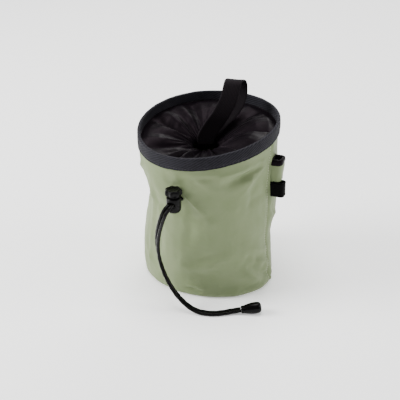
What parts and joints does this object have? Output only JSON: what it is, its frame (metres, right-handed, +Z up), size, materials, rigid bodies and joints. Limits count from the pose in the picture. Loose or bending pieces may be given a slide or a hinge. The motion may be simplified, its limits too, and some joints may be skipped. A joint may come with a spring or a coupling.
{
  "type": "climbing chalk bag",
  "caption": "Cylindrical soft chalk bag with a stiffened rim, a pleated drawstring collar, a cord lock, a webbing pull loop and a brush holder on its side seam.",
  "frame": {"origin": "middle of the base, on the surface that the bag stands on", "axes": "+Z up out of the base, -Y towards the front, +X towards the side seam with the brush holder"},
  "size_m": [0.1256, 0.1485, 0.1709],
  "materials": {
    "nylon": "matte",
    "twill": "matte",
    "black_nylon": "satin",
    "webbing": "matte",
    "elastic": "matte",
    "plastic": "gloss",
    "cord": "matte"
  },
  "bodies": {
    "bag": {"bag_body": "nylon", "rim_band": "twill", "collar": "black_nylon", "pull_loop": "webbing", "brush_sleeve": "nylon", "sleeve_lining": "black_nylon", "brush_elastic": "elastic", "belt_loop": "webbing", "eyelet": "plastic", "lock_barrel": "plastic", "cord_left": "cord", "cord_right": "cord", "cord_end": "plastic"},
    "button": {"lock_button": "plastic"}
  },
  "joints": [
    {"name": "button_press", "type": "slide", "parent": "bag", "child": "button", "axis": [0, 0, -1], "range_m": [0, 0.0018], "stiffness_N_per_m": 600}
  ]
}
